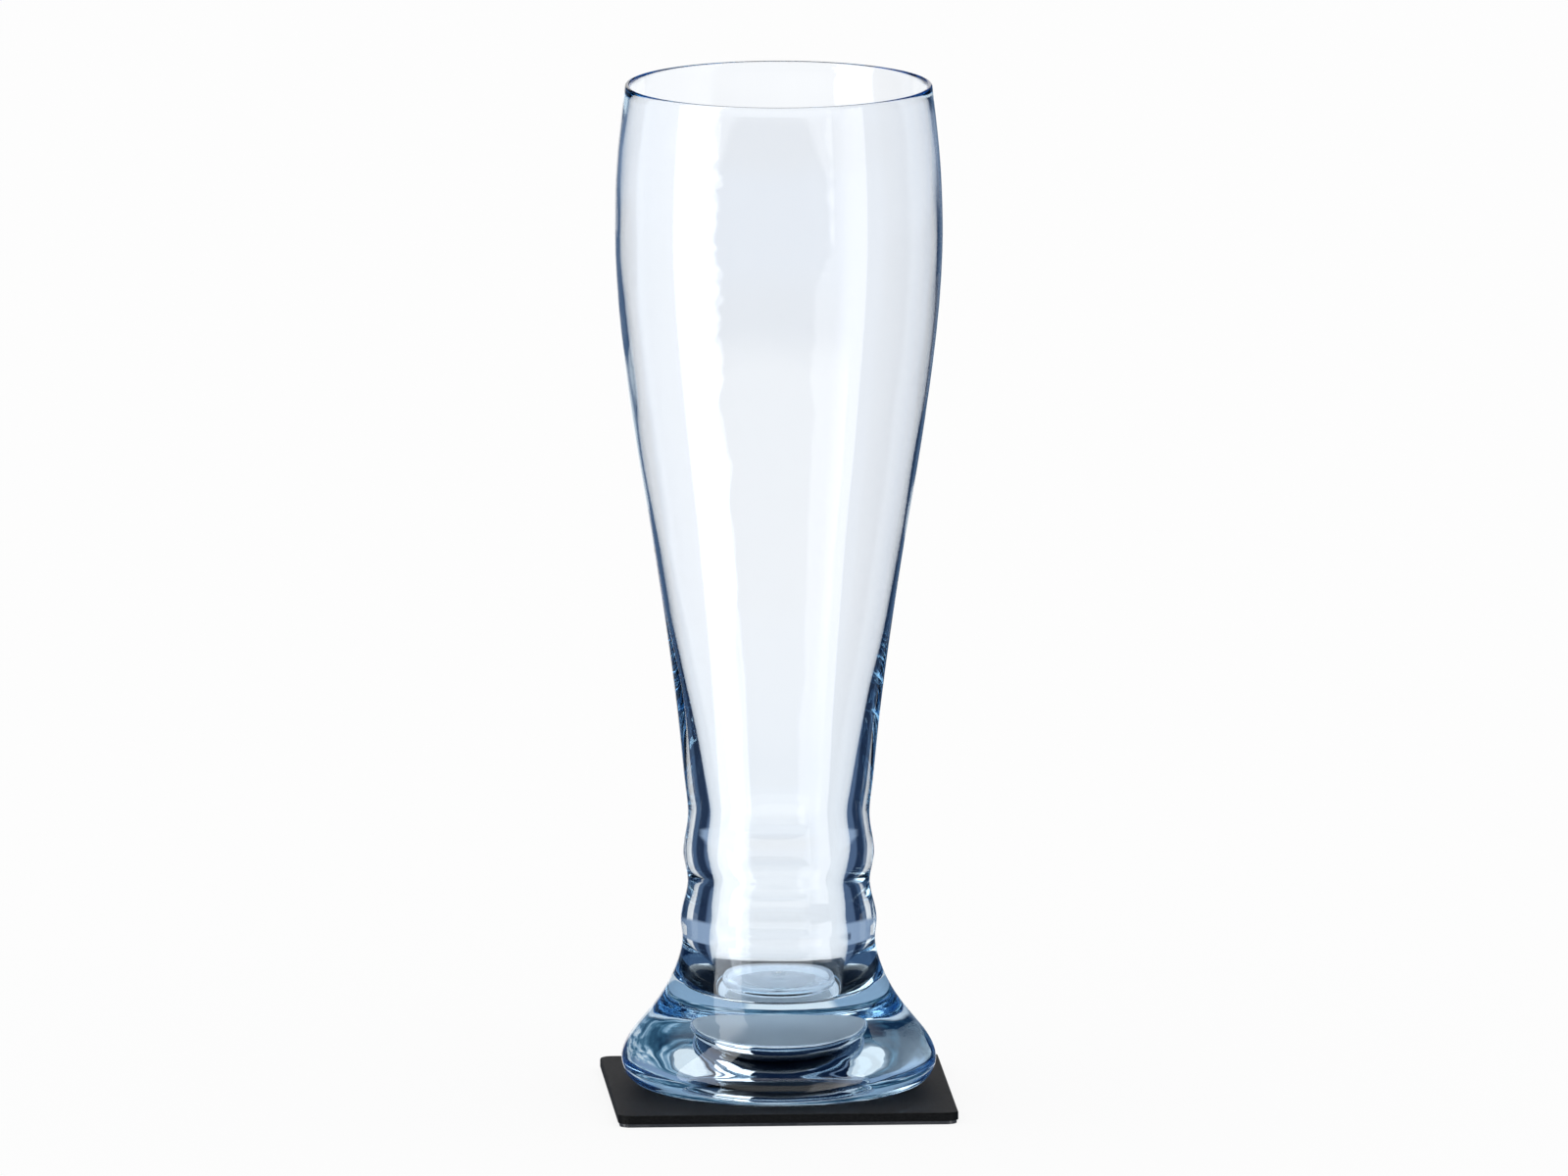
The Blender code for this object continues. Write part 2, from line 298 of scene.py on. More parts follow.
# %% [markdown]
# ## Building finishes from nodes
# A finish is a small network of nodes. In the shader editor each node is placed and linked by hand. In code a few
# helpers keep the networks short: one adds a node and links its inputs, and the others are the soft steps, blends
# and colour ramps that the finishes and the studio share.

# %% Helpers for nodes
def new_material(name):
    material = bpy.data.materials.new(name)
    material.use_nodes = True
    material.node_tree.nodes.clear()
    return material, material.node_tree


def add_node(tree, kind, settings=None, **inputs):
    """Add a node, set its properties, and set or link its inputs, by name or as i0, i1 and so on."""
    made = tree.nodes.new(kind)
    for key, value in (settings or {}).items():
        setattr(made, key, value)
    for key, value in inputs.items():
        name = key.replace("_", " ")
        socket = made.inputs[name] if name in made.inputs else made.inputs[int(key[1:])]
        if isinstance(value, bpy.types.NodeSocket):
            tree.links.new(value, socket)
        else:
            is_color = isinstance(value, tuple) and len(socket.default_value) == 4
            socket.default_value = (*value, 1) if is_color else value
    return made


def calc(tree, operation, *values):
    return add_node(tree, "ShaderNodeMath", {"operation": operation},
                    **{f"i{k}": v for k, v in enumerate(values)}).outputs[0]


def both(tree, first, *others):
    """The product of masks: 1 only where all of them are 1."""
    for other in others:
        first = calc(tree, "MULTIPLY", first, other)
    return first


def inverse(tree, mask):
    return calc(tree, "SUBTRACT", 1.0, mask)


def soft_step(tree, value, low, high):
    """0 before low, 1 after high, smooth between, whichever of the two is larger."""
    step = add_node(tree, "ShaderNodeMapRange", {"interpolation_type": "SMOOTHSTEP"}, Value=value)
    step.inputs["From Min"].default_value = low
    step.inputs["From Max"].default_value = high
    return step.outputs[0]


def window(tree, value, low, high, soft):
    """1 between low and high, fading to 0 over soft on both sides."""
    return both(tree, soft_step(tree, value, low - soft, low), soft_step(tree, value, high + soft, high))


print("masks and sums ready")

# %% [markdown]
# Colours need two more: a blend of two colours by a mask, and a ramp that turns a value into a colour. Patterns are
# noise on the piece's own coordinates, stretched where the real marks run one way.

# %% Helpers for colours and patterns
def blend(tree, factor, a, b, kind="MIX"):
    mix = add_node(tree, "ShaderNodeMix", {"data_type": "RGBA", "blend_type": kind})
    for socket, value in ((mix.inputs["Factor"], factor), (mix.inputs["A"], a), (mix.inputs["B"], b)):
        if isinstance(value, bpy.types.NodeSocket):
            tree.links.new(value, socket)
        else:
            socket.default_value = (*value, 1) if isinstance(value, tuple) else value
    return mix.outputs["Result"]


def ramp(tree, value, stops):
    made = add_node(tree, "ShaderNodeValToRGB", Fac=value)
    elements = made.color_ramp.elements
    while len(elements) > 1:
        elements.remove(elements[-1])
    elements[0].position = stops[0][0]
    elements[0].color = (*stops[0][1], 1)
    for position, color in stops[1:]:
        elements.new(position).color = (*color, 1)
    return made.outputs["Color"]


def pattern(tree, place, scale, detail, stretch=(1, 1, 1), roughness=0.5):
    """Noise between 0 and 1, squeezed along each axis by the stretch."""
    mapped = add_node(tree, "ShaderNodeMapping", i0=place)
    mapped.inputs["Scale"].default_value = stretch
    noise = add_node(tree, "ShaderNodeTexNoise", Vector=mapped.outputs[0], Scale=scale, Detail=detail,
                     Roughness=roughness)
    return noise.outputs["Fac"]


def on_piece(tree):
    return add_node(tree, "ShaderNodeTexCoord").outputs["Object"]


print("blends, ramps and patterns ready")

# %% [markdown]
# ## Clear glass
# The thin wall looks nearly white and the thick foot teal blue, because the colour sits in the glass and grows with
# its depth. So the surface is a plain glass shader and the tint is an absorbing volume. A tinted surface would colour
# thin and thick glass alike. Two patterns bend the surface a little: long waves, stronger on the inside of the bowl,
# and flat chill marks round the foot, where the hot glass met the cold mould.

# %% Mix the glass
GLASS_IOR, GLASS_ABSORPTION = 1.51, 9.0
SKIN_TINT, DEPTH_TINT = (0.965, 0.98, 1.0), (0.40, 0.72, 0.90)
BOWL_WAVES, WALL_WAVES, CHILL_MARKS = 0.14, 0.02, 0.10
WAVE_SCALE, WAVE_STRETCH, WAVE_DEPTH = 55.0, (1, 1, 0.55), 0.002
CHILL_SCALE, CHILL_STRETCH, CHILL_DEPTH = 60.0, (1, 1, 3.2), 0.0012
FOOT_FROM, FOOT_TO, BOWL_FROM, BOWL_TO = 0.075, 0.123, 0.33, 0.45


def at_height(share):
    return glass_low.z + share * (glass_high.z - glass_low.z)


def clear_glass():
    material, tree = new_material("clear_glass")
    place = on_piece(tree)
    height = add_node(tree, "ShaderNodeSeparateXYZ", Vector=place).outputs["Z"]
    inside = add_node(tree, "ShaderNodeAttribute", {"attribute_name": "inside"}).outputs["Fac"]
    in_bowl = both(tree, inside, soft_step(tree, height, at_height(BOWL_FROM), at_height(BOWL_TO)))
    waves = pattern(tree, place, WAVE_SCALE, 1.0, WAVE_STRETCH)
    strength = calc(tree, "MULTIPLY_ADD", in_bowl, BOWL_WAVES, WALL_WAVES)
    wavy = add_node(tree, "ShaderNodeBump", Strength=strength, Distance=WAVE_DEPTH, Height=waves)
    chill = pattern(tree, place, CHILL_SCALE, 1.5, CHILL_STRETCH)
    in_foot = soft_step(tree, height, at_height(FOOT_TO), at_height(FOOT_FROM))
    in_foot = calc(tree, "MULTIPLY", in_foot, CHILL_MARKS)
    marked = add_node(tree, "ShaderNodeBump", Strength=in_foot, Distance=CHILL_DEPTH, Height=chill,
                      Normal=wavy.outputs[0])
    shader = add_node(tree, "ShaderNodeBsdfPrincipled", Base_Color=SKIN_TINT, Roughness=0.0, IOR=GLASS_IOR,
                      Transmission_Weight=1.0, Normal=marked.outputs[0])
    body = add_node(tree, "ShaderNodeVolumeAbsorption", Color=DEPTH_TINT, Density=GLASS_ABSORPTION)
    add_node(tree, "ShaderNodeOutputMaterial", Surface=shader.outputs[0], Volume=body.outputs[0])
    return material


def dress(piece, material):
    piece.data.materials.clear()
    piece.data.materials.append(material)
    print(piece.name, "wears", material.name)


dress(beer_glass, clear_glass())

# %% [markdown]
# ## Polished and satin steel
# The cup's side is turned and polished, so it mirrors the studio, with the faint rings of the lathe in it. Its flat
# top is left satin, which spreads the light evenly. One material does both: a mask by height picks the top, and sets
# a rougher and finely blasted surface there. The top's paler colour is painted light: it makes the satin top look
# brighter than the same steel would.

# %% Finish the magnet cup
SATIN_FROM, SATIN_TO = 0.00012, 0.00004
POLISHED_ROUGH, SATIN_ROUGH = 0.05, 0.6
RING_SCALE, RING_STRETCH = 400.0, (0.02, 0.02, 12.0)
BLAST_SCALE, BLAST_STRENGTH, BLAST_DEPTH = 9000.0, 0.25, 0.00005


def polished_steel():
    material, tree = new_material("polished_steel")
    place = on_piece(tree)
    height = add_node(tree, "ShaderNodeSeparateXYZ", Vector=place).outputs["Z"]
    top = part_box("magnet_housing")[1].z
    satin = soft_step(tree, height, top - SATIN_FROM, top - SATIN_TO)
    rings = pattern(tree, place, RING_SCALE, 2.0, RING_STRETCH)
    blast = pattern(tree, place, BLAST_SCALE, 2.0)
    side = ramp(tree, rings, [(0.3, (0.62, 0.64, 0.66)), (0.7, (0.70, 0.72, 0.74))])
    # painted light: the satin top gets a paler colour than the polished side, so that it looks brighter
    cover = ramp(tree, blast, [(0.3, (0.88, 0.90, 0.92)), (0.7, (0.92, 0.94, 0.96))])
    rough = add_node(tree, "ShaderNodeMapRange", Value=satin)
    rough.inputs["To Min"].default_value = POLISHED_ROUGH
    rough.inputs["To Max"].default_value = SATIN_ROUGH
    strength = calc(tree, "MULTIPLY", satin, BLAST_STRENGTH)
    bump = add_node(tree, "ShaderNodeBump", Strength=strength, Distance=BLAST_DEPTH, Height=blast)
    shader = add_node(tree, "ShaderNodeBsdfPrincipled", Base_Color=blend(tree, satin, side, cover), Metallic=1.0,
                      Roughness=rough.outputs[0], Normal=bump.outputs[0])
    add_node(tree, "ShaderNodeOutputMaterial", Surface=shader.outputs[0])
    return material


dress(magnet_cup, polished_steel())

# %% [markdown]
# ## Grained black cover
# The coaster's top is pressed with a fine matt grain that turns pale where light grazes it. Its cut side is rough, a
# little fuzzy and set much darker than the top: partly the cut material, partly painted shade on the faces that look
# sideways. A mask by the way a face looks keeps the two apart on one piece. The grain is noise of half a millimetre,
# in the colour and in a shallow bump.

# %% Finish the coaster's cover
GRAIN_SCALE, FUZZ_SCALE, GRAIN_DEPTH = 2200.0, 1400.0, 0.0002


def grained_black():
    material, tree = new_material("grained_black")
    place = on_piece(tree)
    normal = add_node(tree, "ShaderNodeNewGeometry").outputs["Normal"]
    upward = soft_step(tree, add_node(tree, "ShaderNodeSeparateXYZ", Vector=normal).outputs["Z"], 0.3, 0.8)
    grain = pattern(tree, place, GRAIN_SCALE, 4.0)
    fuzz = pattern(tree, place, FUZZ_SCALE, 5.0, roughness=0.7)
    top = ramp(tree, grain, [(0.3, (0.011, 0.011, 0.012)), (0.7, (0.028, 0.028, 0.029))])
    # partly painted shade: the faces that look sideways get this darker colour
    side = ramp(tree, fuzz, [(0.40, (0.001, 0.001, 0.001)), (0.75, (0.009, 0.009, 0.009))])
    relief = blend(tree, upward, fuzz, grain)
    bump = add_node(tree, "ShaderNodeBump", Strength=0.35, Distance=GRAIN_DEPTH, Height=relief)
    shader = add_node(tree, "ShaderNodeBsdfPrincipled", Base_Color=blend(tree, upward, side, top), Roughness=0.6,
                      Specular_IOR_Level=0.12, Normal=bump.outputs[0])
    add_node(tree, "ShaderNodeOutputMaterial", Surface=shader.outputs[0])
    return material


dress(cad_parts["coaster_cover"], grained_black())

# %% [markdown]
# ## The hidden layers
# The magnet, the cover under the foot, the steel plate and the grip sheet show only at an edge or when the glass is
# lifted and turned over. Their solids have the right shape, so they keep it and only get a finish: two colours mixed
# by a pattern, which also moves the roughness and a shallow bump. A plain colour would look like a toy's.

# %% Finish the hidden layers
def layered(name, dark, light, scale, stretch, rough, depth, metallic=0.0):
    material, tree = new_material(name)
    marks = pattern(tree, on_piece(tree), scale, 3.0, stretch)
    gloss = add_node(tree, "ShaderNodeMapRange", Value=marks)
    gloss.inputs["To Min"].default_value, gloss.inputs["To Max"].default_value = rough
    bump = add_node(tree, "ShaderNodeBump", Strength=0.3, Distance=depth, Height=marks)
    shader = add_node(tree, "ShaderNodeBsdfPrincipled", Base_Color=ramp(tree, marks, [(0.3, dark), (0.7, light)]),
                      Metallic=metallic, Roughness=gloss.outputs[0], Normal=bump.outputs[0])
    add_node(tree, "ShaderNodeOutputMaterial", Surface=shader.outputs[0])
    return material


EVEN, ROLLED = (1, 1, 1), (0.05, 1, 1)
dress(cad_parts["magnet_disc"],
      layered("nickel_plate", (0.50, 0.50, 0.48), (0.60, 0.60, 0.58), 700.0, EVEN, (0.15, 0.30), 0.00002, 1.0))
dress(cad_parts["foot_cover"],
      layered("cover_polymer", (0.022, 0.034, 0.055), (0.038, 0.056, 0.085), 1100.0, EVEN, (0.50, 0.70), 0.0001))
dress(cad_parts["coaster_steel_plate"],
      layered("sheet_steel", (0.36, 0.37, 0.38), (0.48, 0.49, 0.50), 500.0, ROLLED, (0.30, 0.50), 0.00005, 1.0))
dress(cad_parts["coaster_gel_sheet"],
      layered("grip_gel", (0.035, 0.035, 0.037), (0.065, 0.065, 0.068), 300.0, EVEN, (0.25, 0.45), 0.0001))

# %% [markdown]
# ## The floor
# The object stands on a plain white floor that runs out of sight. A sheet of paper curved up behind is the usual way,
# but a flat disc has no bend to hide. For the camera it is mostly lit from within, so it meets the white background
# without a horizon, and the rest of it is matt and keeps a faint shadow. Mirrors and thick glass don't see it. They
# get their own picture of the studio further down. The floor lies a hair below the coaster, because two faces at the
# same height would flicker.

# %% Lay the floor
FLOOR_RADIUS, FLOOR_SIDES, FLOOR_DROP = 4.0, 96, 0.00005
FLOOR_WHITE, FLOOR_GLOW = (0.9, 0.9, 0.9), 0.85


def add_floor():
    bpy.ops.object.select_all(action="DESELECT")
    bpy.ops.mesh.primitive_circle_add(vertices=FLOOR_SIDES, radius=FLOOR_RADIUS, fill_type="NGON",
                                      location=(0, 0, -FLOOR_DROP))
    bpy.ops.object.transform_apply(location=True)
    floor = bpy.context.object
    floor.name = "floor"
    material, tree = new_material("white_floor")
    camera_ray = add_node(tree, "ShaderNodeLightPath").outputs["Is Camera Ray"]
    matt = add_node(tree, "ShaderNodeBsdfDiffuse", Color=FLOOR_WHITE)
    glow = add_node(tree, "ShaderNodeEmission", Strength=1.0)
    share = calc(tree, "MULTIPLY", camera_ray, FLOOR_GLOW)
    mix = add_node(tree, "ShaderNodeMixShader", Fac=share, i1=matt.outputs[0], i2=glow.outputs[0])
    add_node(tree, "ShaderNodeOutputMaterial", Surface=mix.outputs[0])
    dress(floor, material)
    floor.visible_glossy = floor.visible_transmission = False


add_floor()

# %% [markdown]
# ## A card behind the glass
# Photographers stand a narrow white card behind a glass, edge on to the camera. The camera can't see it, but the
# outermost skin of a thick wall bends its view far round and finds the card there, which draws the fine white line
# along the dark edges. It is a plane stood on its side, from just behind the glass backwards. It is not lit by the
# studio: it glows white from within, like a lamp panel, and casts no shadow.

# %% Stand the card up
CARD_GAP, CARD_DEPTH = 0.0044, 0.205
CARD_CLEAR, CARD_OVER = 0.0367, 0.0067


def add_card():
    bpy.ops.object.select_all(action="DESELECT")
    bpy.ops.mesh.primitive_plane_add(size=1, location=(0, 0, 0))
    card = bpy.context.object
    card.name = "white_card"
    along = Vector((-math.sin(VIEW_TURN), math.cos(VIEW_TURN), 0))
    near = glass_high.x + CARD_GAP
    low, high = glass_low.z + CARD_CLEAR, glass_high.z + CARD_OVER
    for v in card.data.vertices:
        away = near + CARD_DEPTH if v.co.x > 0 else near
        v.co = along * away + Vector((0, 0, high if v.co.y > 0 else low))
    material, tree = new_material("white_card")
    # the card glows: white light from within, not a card lit by the studio
    glow = add_node(tree, "ShaderNodeEmission", Strength=1.0)
    add_node(tree, "ShaderNodeOutputMaterial", Surface=glow.outputs[0])
    dress(card, material)
    card.visible_camera = card.visible_diffuse = card.visible_shadow = False


add_card()

# %% [markdown]
# ## The studio
# Glass has almost no colour of its own: it shows the room. So the room is drawn with care, in the nodes of the world,
# as colours by direction. Two angles say where a ray goes: its turn, from straight behind the glass, and its lift
# above the horizon. Lamps and panels could build the same room, but every one of them would also light the floor.

# %% Directions in the studio
world = bpy.data.worlds.new("studio")
scene.world = world
world.use_nodes = True
sky = world.node_tree
sky.nodes.clear()
toward = add_node(sky, "ShaderNodeTexCoord").outputs["Generated"]
x, y, z = add_node(sky, "ShaderNodeSeparateXYZ", Vector=toward).outputs
turn = calc(sky, "DEGREES", calc(sky, "ARCTAN2", x, y))
front = calc(sky, "DEGREES", calc(sky, "ARCTAN2", x, calc(sky, "MULTIPLY", y, -1.0)))
lift = calc(sky, "DEGREES", calc(sky, "ARCSINE", z))
turned_by = calc(sky, "ABSOLUTE", turn)
print("turn and lift are measured in degrees")

# %% [markdown]
# What a ray went through matters as much as where it goes. One that crossed both walls of the bowl shows the white
# background. One that only passed through solid glass, or was thrown back by a surface, shows the room. In a real
# studio black paper and small cards part the two. Here the light path node does, which counts how often a ray was let
# through or thrown back.

# %% Kinds of rays
SOLID_CROSSINGS = 3.5
AHEAD_FROM, ABACK_TO = 128.0, 110.0
path = add_node(sky, "ShaderNodeLightPath")
mirrored = calc(sky, "GREATER_THAN", path.outputs["Glossy Depth"], 0.5)
entered = calc(sky, "GREATER_THAN", path.outputs["Transmission Depth"], 0.5)
thick = calc(sky, "LESS_THAN", path.outputs["Transmission Depth"], SOLID_CROSSINGS)
scattered = calc(sky, "GREATER_THAN", path.outputs["Diffuse Depth"], 0.5)
outside = inverse(sky, entered)
in_solid = both(sky, entered, thick)
ahead = calc(sky, "GREATER_THAN", turned_by, AHEAD_FROM)
aback = calc(sky, "LESS_THAN", turned_by, ABACK_TO)
print("rays are told apart after", SOLID_CROSSINGS, "crossings")

# %% [markdown]
# ## Dark walls of the room
# The navy and slate bands in the lower wall of the glass are the dark walls of the room, bent round. Panels could
# stand there, but a colour ramp round the horizon is changed with one number. It is white straight behind the glass.
# In front, the room is a dim blue near the horizon, the white table below it, and dark above.

# %% Paint the room
NAVY, SLATE, BLUE = (0.006, 0.017, 0.05), (0.08, 0.13, 0.23), (0.06, 0.11, 0.20)
HAZE, DIM, SIDE = (0.30, 0.40, 0.56), (0.10, 0.22, 0.42), (0.14, 0.20, 0.30)
PALE, TABLE, WHITE = (0.34, 0.47, 0.62), (1.05, 1.1, 1.15), (1.0, 1.0, 1.0)
round_room = [(-180, DIM), (-131, DIM), (-98, HAZE), (-90, SIDE), (-61, SIDE), (-52, SLATE), (-47, NAVY), (-30, NAVY),
              (-26, BLUE), (-13, SLATE), (-10, WHITE), (10, WHITE), (13, BLUE), (24, BLUE), (28, NAVY), (44, NAVY),
              (49, SLATE), (90, SLATE), (115, HAZE), (142, DIM), (180, DIM)]
EYE_LEVEL, DARK_LEVEL, TABLE_NEAR, TABLE_FAR = -2.0, 3.0, -42.0, -23.0
share_of_turn = calc(sky, "DIVIDE", calc(sky, "ADD", turn, 180.0), 360.0)
room = ramp(sky, share_of_turn, [((angle + 180) / 360, color) for angle, color in round_room])
room = blend(sky, both(sky, ahead, soft_step(sky, lift, EYE_LEVEL, DARK_LEVEL)), room, NAVY)
room = blend(sky, both(sky, ahead, window(sky, lift, TABLE_NEAR, TABLE_FAR, 5.0)), room, TABLE)
print("colours round the room:", len(round_room))

# %% [markdown]
# ## Soft boxes
# Two tall soft boxes stand in front, to the left and to the right, and draw the two long white bands down the glass.
# Their outer sides are straight, and towards the camera loose white cloths hang over them, so the bands have wavy
# inner edges. Noise over the lift gives the folds. The far wall of the bowl would mirror the boxes a second time and
# widen the bands, so the boxes are left out of what it shows. Inside the foot the right box is faint.

# %% Hang the soft boxes
LEFT_BOX, RIGHT_BOX = 3.0, 2.8
LEFT_OUTER, LEFT_INNER, LEFT_LOW, LEFT_HIGH = -84.0, -47.0, -80.0, 60.0
RIGHT_INNER, RIGHT_OUTER, RIGHT_LOW, RIGHT_HIGH = 32.0, 63.0, -50.0, 8.0
FOLDS, FOLD_SCALE, FOLD_LOW, FOLD_HIGH = 26.0, 0.40, -24.0, 12.0
DRAPE, SHEER, IN_FOOT = 12.0, 0.45, 0.04
crossed = both(sky, mirrored, inverse(sky, thick))
fold_place = add_node(sky, "ShaderNodeCombineXYZ", X=lift, Y=turn).outputs[0]
folds = calc(sky, "SUBTRACT", pattern(sky, fold_place, FOLD_SCALE, 2.0, (1, 0.04, 1)), 0.5)
hanging = window(sky, lift, FOLD_LOW, FOLD_HIGH, 8.0)
folded = calc(sky, "MULTIPLY_ADD", both(sky, folds, hanging), FOLDS, front)
left_box = both(sky, soft_step(sky, front, LEFT_OUTER, LEFT_OUTER + 2.0),
                soft_step(sky, folded, LEFT_INNER, LEFT_INNER - 3.0), window(sky, lift, LEFT_LOW, LEFT_HIGH, 5.0))
drape = calc(sky, "MULTIPLY_ADD", soft_step(sky, lift, -9.0, -14.0), DRAPE, folded)
right_box = both(sky, soft_step(sky, drape, RIGHT_INNER, RIGHT_INNER + 4.0),
                 soft_step(sky, front, RIGHT_OUTER, RIGHT_OUTER - 2.0), window(sky, lift, RIGHT_LOW, RIGHT_HIGH, 3.0))
sheer = calc(sky, "MULTIPLY_ADD", soft_step(sky, front, 36.0, 50.0), 1.0 - SHEER, SHEER)
right_box = both(sky, right_box, sheer, calc(sky, "MULTIPLY_ADD", in_solid, IN_FOOT - 1.0, 1.0))
glow = calc(sky, "MULTIPLY", left_box, LEFT_BOX)
glow = both(sky, calc(sky, "MULTIPLY_ADD", right_box, RIGHT_BOX, glow), inverse(sky, crossed))
print("soft boxes at strength", LEFT_BOX, "and", RIGHT_BOX)

# %% [markdown]
# Between the boxes, over the camera, hangs a pale reflector with an arched lower edge, which gives the quiet panel in
# the middle of the glass its rounded top. A plane could be cut to that edge, but a formula draws it without a mesh:
# the arch is a rounded ellipse in turn and lift. Only the outer skin of the glass shows it.

# %% Hang the arched reflector
REFLECTOR, REFLECTOR_LEFT, REFLECTOR_RIGHT, REFLECTOR_LOW, REFLECTOR_HIGH = 1.6, -49.0, 35.0, -6.0, 12.0
ARCH_MIDDLE, ARCH_HALF, ARCH_FOOT, ARCH_RISE, ARCH_ROUND = -8.5, 41.0, -5.0, 10.8, 2.6
across = calc(sky, "DIVIDE", calc(sky, "ABSOLUTE", calc(sky, "SUBTRACT", front, ARCH_MIDDLE)), ARCH_HALF)
over = calc(sky, "DIVIDE", calc(sky, "MAXIMUM", calc(sky, "SUBTRACT", lift, ARCH_FOOT), 0.0), ARCH_RISE)
arch = calc(sky, "ADD", calc(sky, "POWER", across, ARCH_ROUND), calc(sky, "POWER", over, ARCH_ROUND))
reflector = both(sky, soft_step(sky, arch, 0.85, 1.15), window(sky, front, REFLECTOR_LEFT, REFLECTOR_RIGHT, 2.0),
                 window(sky, lift, REFLECTOR_LOW, REFLECTOR_HIGH, 5.0), outside)
glow = calc(sky, "MULTIPLY_ADD", reflector, REFLECTOR, glow)
boxes = add_node(sky, "ShaderNodeCombineColor", i0=glow, i1=glow, i2=glow).outputs[0]
lit_room = blend(sky, 1.0, room, boxes, "ADD")
print("reflector over", ARCH_HALF * 2, "degrees, strength", REFLECTOR)

# %% [markdown]
# ## The ceiling
# Seen from inside the foot the ceiling is white, and it lights the satin top of the magnet cup. The outer skin of the
# foot would mirror it too and wash out the dark steel and the teal glass below. So for the outer skin the ceiling is
# dark, apart from a white part high up behind, which only brightens the lip.

# %% Close the room above
CEILING_LIGHT, CEILING_FROM, CEILING_FULL = (1.6, 1.65, 1.7), 42.0, 60.0
CEILING_WHITE_TURN, CEILING_WHITE_FROM, CEILING_WHITE_FULL = 75.0, 30.0, 45.0
ceiling = both(sky, soft_step(sky, lift, CEILING_FROM, CEILING_FULL), entered)
studio = blend(sky, ceiling, lit_room, CEILING_LIGHT)
high_behind = both(sky, calc(sky, "LESS_THAN", turned_by, CEILING_WHITE_TURN),
                   soft_step(sky, lift, CEILING_WHITE_FROM, CEILING_WHITE_FULL))
above = blend(sky, high_behind, NAVY, WHITE)
above = blend(sky, 1.0, above, boxes, "ADD")
studio = blend(sky, both(sky, soft_step(sky, lift, 12.0, 18.0), outside), studio, above)
print("white high above the glass within", CEILING_WHITE_TURN, "degrees of straight behind")

# %% [markdown]
# ## Streaks in the foot
# The thick foot bends the room behind it into teal and white streaks. Painted panels behind the glass could draw
# them. A noise pattern over the directions, pressed flat, does it without any panel. A ray that went through one thin
# wall alone, as on the inside of the rim, still heads down as the camera looks. It finds white straight behind the
# glass and pale blue to both sides of that. The left flank of the foot shows lighter streaks than the right one.

# %% Paint what is seen through the foot
TEAL_STREAKS = [(0.38, (0.008, 0.028, 0.065)), (0.49, (0.04, 0.11, 0.18)), (0.56, (0.12, 0.25, 0.36)),
                (0.61, (0.42, 0.58, 0.72)), (0.66, (0.9, 0.96, 1.0))]
NEAR_WHITE = (0.85, 0.92, 1.0)
STREAK_SCALE, STREAK_STRETCH, STREAK_ROUGHNESS = 4.5, (1, 1, 2.2), 0.6
FLANK_FROM, FLANK_FULL, LEFT_LIGHTER, RIGHT_DARKER = 14.0, 26.0, 0.06, -0.16
streaks = pattern(sky, toward, STREAK_SCALE, 3.0, STREAK_STRETCH, STREAK_ROUGHNESS)
left_flank = calc(sky, "MULTIPLY", soft_step(sky, turn, FLANK_FROM, FLANK_FULL), LEFT_LIGHTER)
flanks = calc(sky, "MULTIPLY_ADD", soft_step(sky, turn, -FLANK_FROM, -FLANK_FULL), RIGHT_DARKER, left_flank)
streaks = calc(sky, "MULTIPLY_ADD", mirrored, flanks, streaks)
behind = ramp(sky, streaks, TEAL_STREAKS)
behind = blend(sky, soft_step(sky, lift, 16.0, 24.0), behind, NEAR_WHITE)
past_wall = blend(sky, window(sky, turned_by, 15.0, 55.0, 4.0), WHITE, PALE)
through = blend(sky, soft_step(sky, lift, -7.5, -5.0), past_wall, behind)
studio = blend(sky, both(sky, in_solid, aback, window(sky, lift, 2.0, 40.0, 4.0)), studio, behind)
studio = blend(sky, mirrored, through, studio)
print("colours in the streaks:", len(TEAL_STREAKS))

# %% [markdown]
# ## Edges of the thick wall
# Near the outline light is thrown back inside the wall before it leaves. Where a groove sends it out level it meets a
# pale haze, which breaks the dark bands at the beads. What was thrown back more often comes out slate blue. At both
# ends of the rim light goes round in the thin wall dozens of times and loses most of its red on the way. There it
# finds the haze again, so the lip becomes a dark blue line and not a black one.

# %% Paint what the wall throws back
MANY_MIRRORS, TRAPPED_MIRRORS = 2.5, 24.5
rising = both(sky, in_solid, mirrored, aback, window(sky, lift, -6.0, 2.0, 3.0))
studio = blend(sky, rising, studio, HAZE)
running = calc(sky, "GREATER_THAN", path.outputs["Glossy Depth"], MANY_MIRRORS)
studio = blend(sky, both(sky, running, in_solid, aback), studio, BLUE)
trapped = calc(sky, "GREATER_THAN", path.outputs["Glossy Depth"], TRAPPED_MIRRORS)
studio = blend(sky, both(sky, trapped, in_solid), studio, HAZE)
print("slate blue after", MANY_MIRRORS, "mirrorings, haze after", TRAPPED_MIRRORS)

# %% [markdown]
# ## Sides of the magnet cup
# The polished cup mirrors what stands to the left and right of the foot. A bright panel on the left draws the white
# light on its side, and a dark one on the right leaves the rest navy. The far wall of the bowl mirrors the room too.
# It gets pale walls, brighter on the right, because the dark ones would make the thin bowl grey.

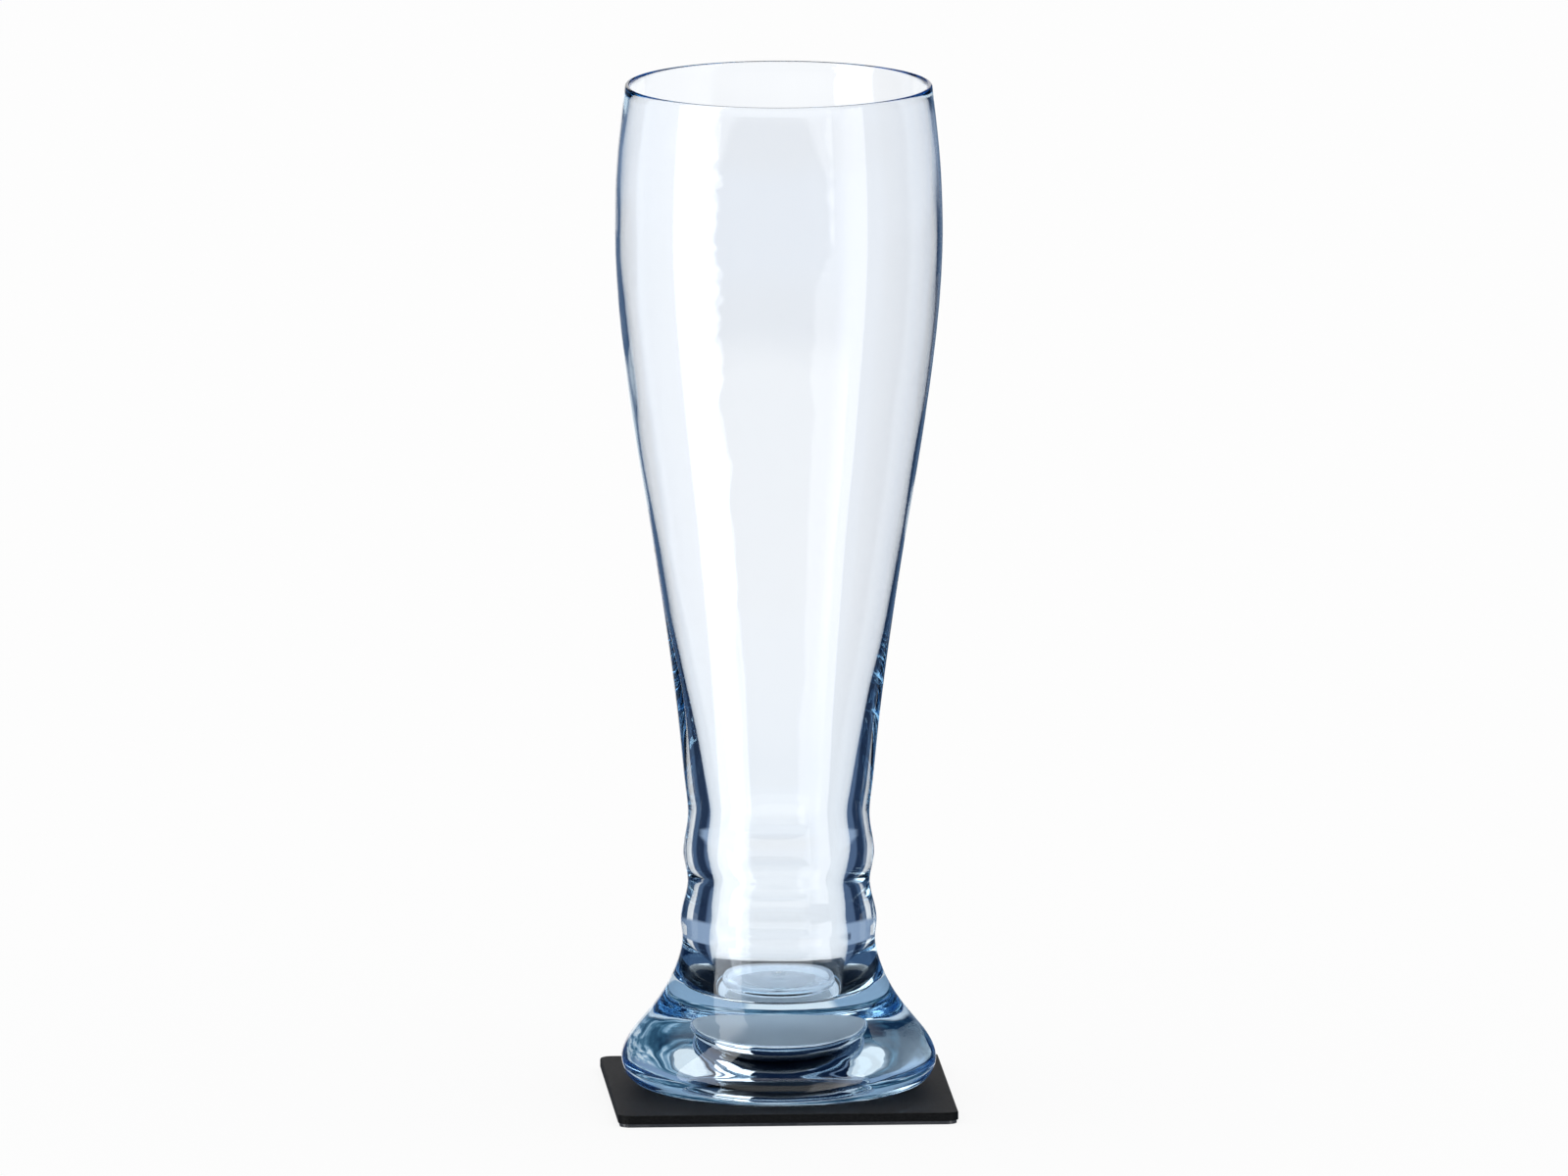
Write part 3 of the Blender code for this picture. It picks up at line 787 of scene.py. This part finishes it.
# %% Paint what the cup and the far wall mirror
BRIGHT_PANEL = (2.5, 2.5, 2.5)
LIT_WALL = (1.7, 1.75, 1.8)
glint = both(sky, in_solid, window(sky, turn, -131.0, -72.0, 3.0), window(sky, lift, 3.0, 40.0, 4.0))
shade = both(sky, in_solid, window(sky, turn, 62.0, 132.0, 4.0), window(sky, lift, 2.0, 36.0, 4.0))
studio = blend(sky, shade, blend(sky, glint, studio, BRIGHT_PANEL), NAVY)
far_wall = blend(sky, soft_step(sky, turn, 45.0, 60.0), NEAR_WHITE, LIT_WALL)
studio = blend(sky, both(sky, crossed, window(sky, turn, -60.0, 125.0, 10.0)), studio, far_wall)
print("bright panel at strength", BRIGHT_PANEL[0])

# %% [markdown]
# ## White background and soft light
# Straight through the thin walls, and beside the glass, everything is white, with a pale blue haze where the beads
# bend the view upwards. Matt surfaces get an even soft light, stronger from above. Light that reached the coaster
# through the foot is weak and blue, as it is under any thick glass.

# %% Put the studio together
BEAD_HAZE = (0.50, 0.62, 0.76)
FILL_LOW, FILL_HIGH, FILL_UNDER_GLASS = (0.35, 0.35, 0.35), (1.15, 1.15, 1.15), (0.05, 0.11, 0.22)
hazy = both(sky, entered, soft_step(sky, lift, -5.0, 4.0))
background = blend(sky, hazy, WHITE, BEAD_HAZE)
look = blend(sky, calc(sky, "MAXIMUM", mirrored, in_solid), background, studio)
fill = blend(sky, soft_step(sky, lift, 0.0, 50.0), FILL_LOW, FILL_HIGH)
fill = blend(sky, entered, fill, FILL_UNDER_GLASS)
look = blend(sky, scattered, look, fill)
shine = add_node(sky, "ShaderNodeBackground", Strength=1.0, Color=look)
add_node(sky, "ShaderNodeOutputWorld", Surface=shine.outputs[0])
world.cycles.sampling_method = "NONE"
print("studio nodes:", len(sky.nodes))

# %% [markdown]
# ## How far light is followed
# Light in a thick wall is thrown back and forth many times before it leaves, so the rays are followed for many steps.
# With few steps the wall's edge would turn black. Colours are shown as they are written, with the standard view.

# %% Set up the light paths
FOLLOWED = 320
scene.cycles.max_bounces = FOLLOWED
scene.cycles.transmission_bounces = FOLLOWED
scene.cycles.glossy_bounces = FOLLOWED
scene.view_settings.view_transform = "Standard"
print("light is followed for", FOLLOWED, "steps")
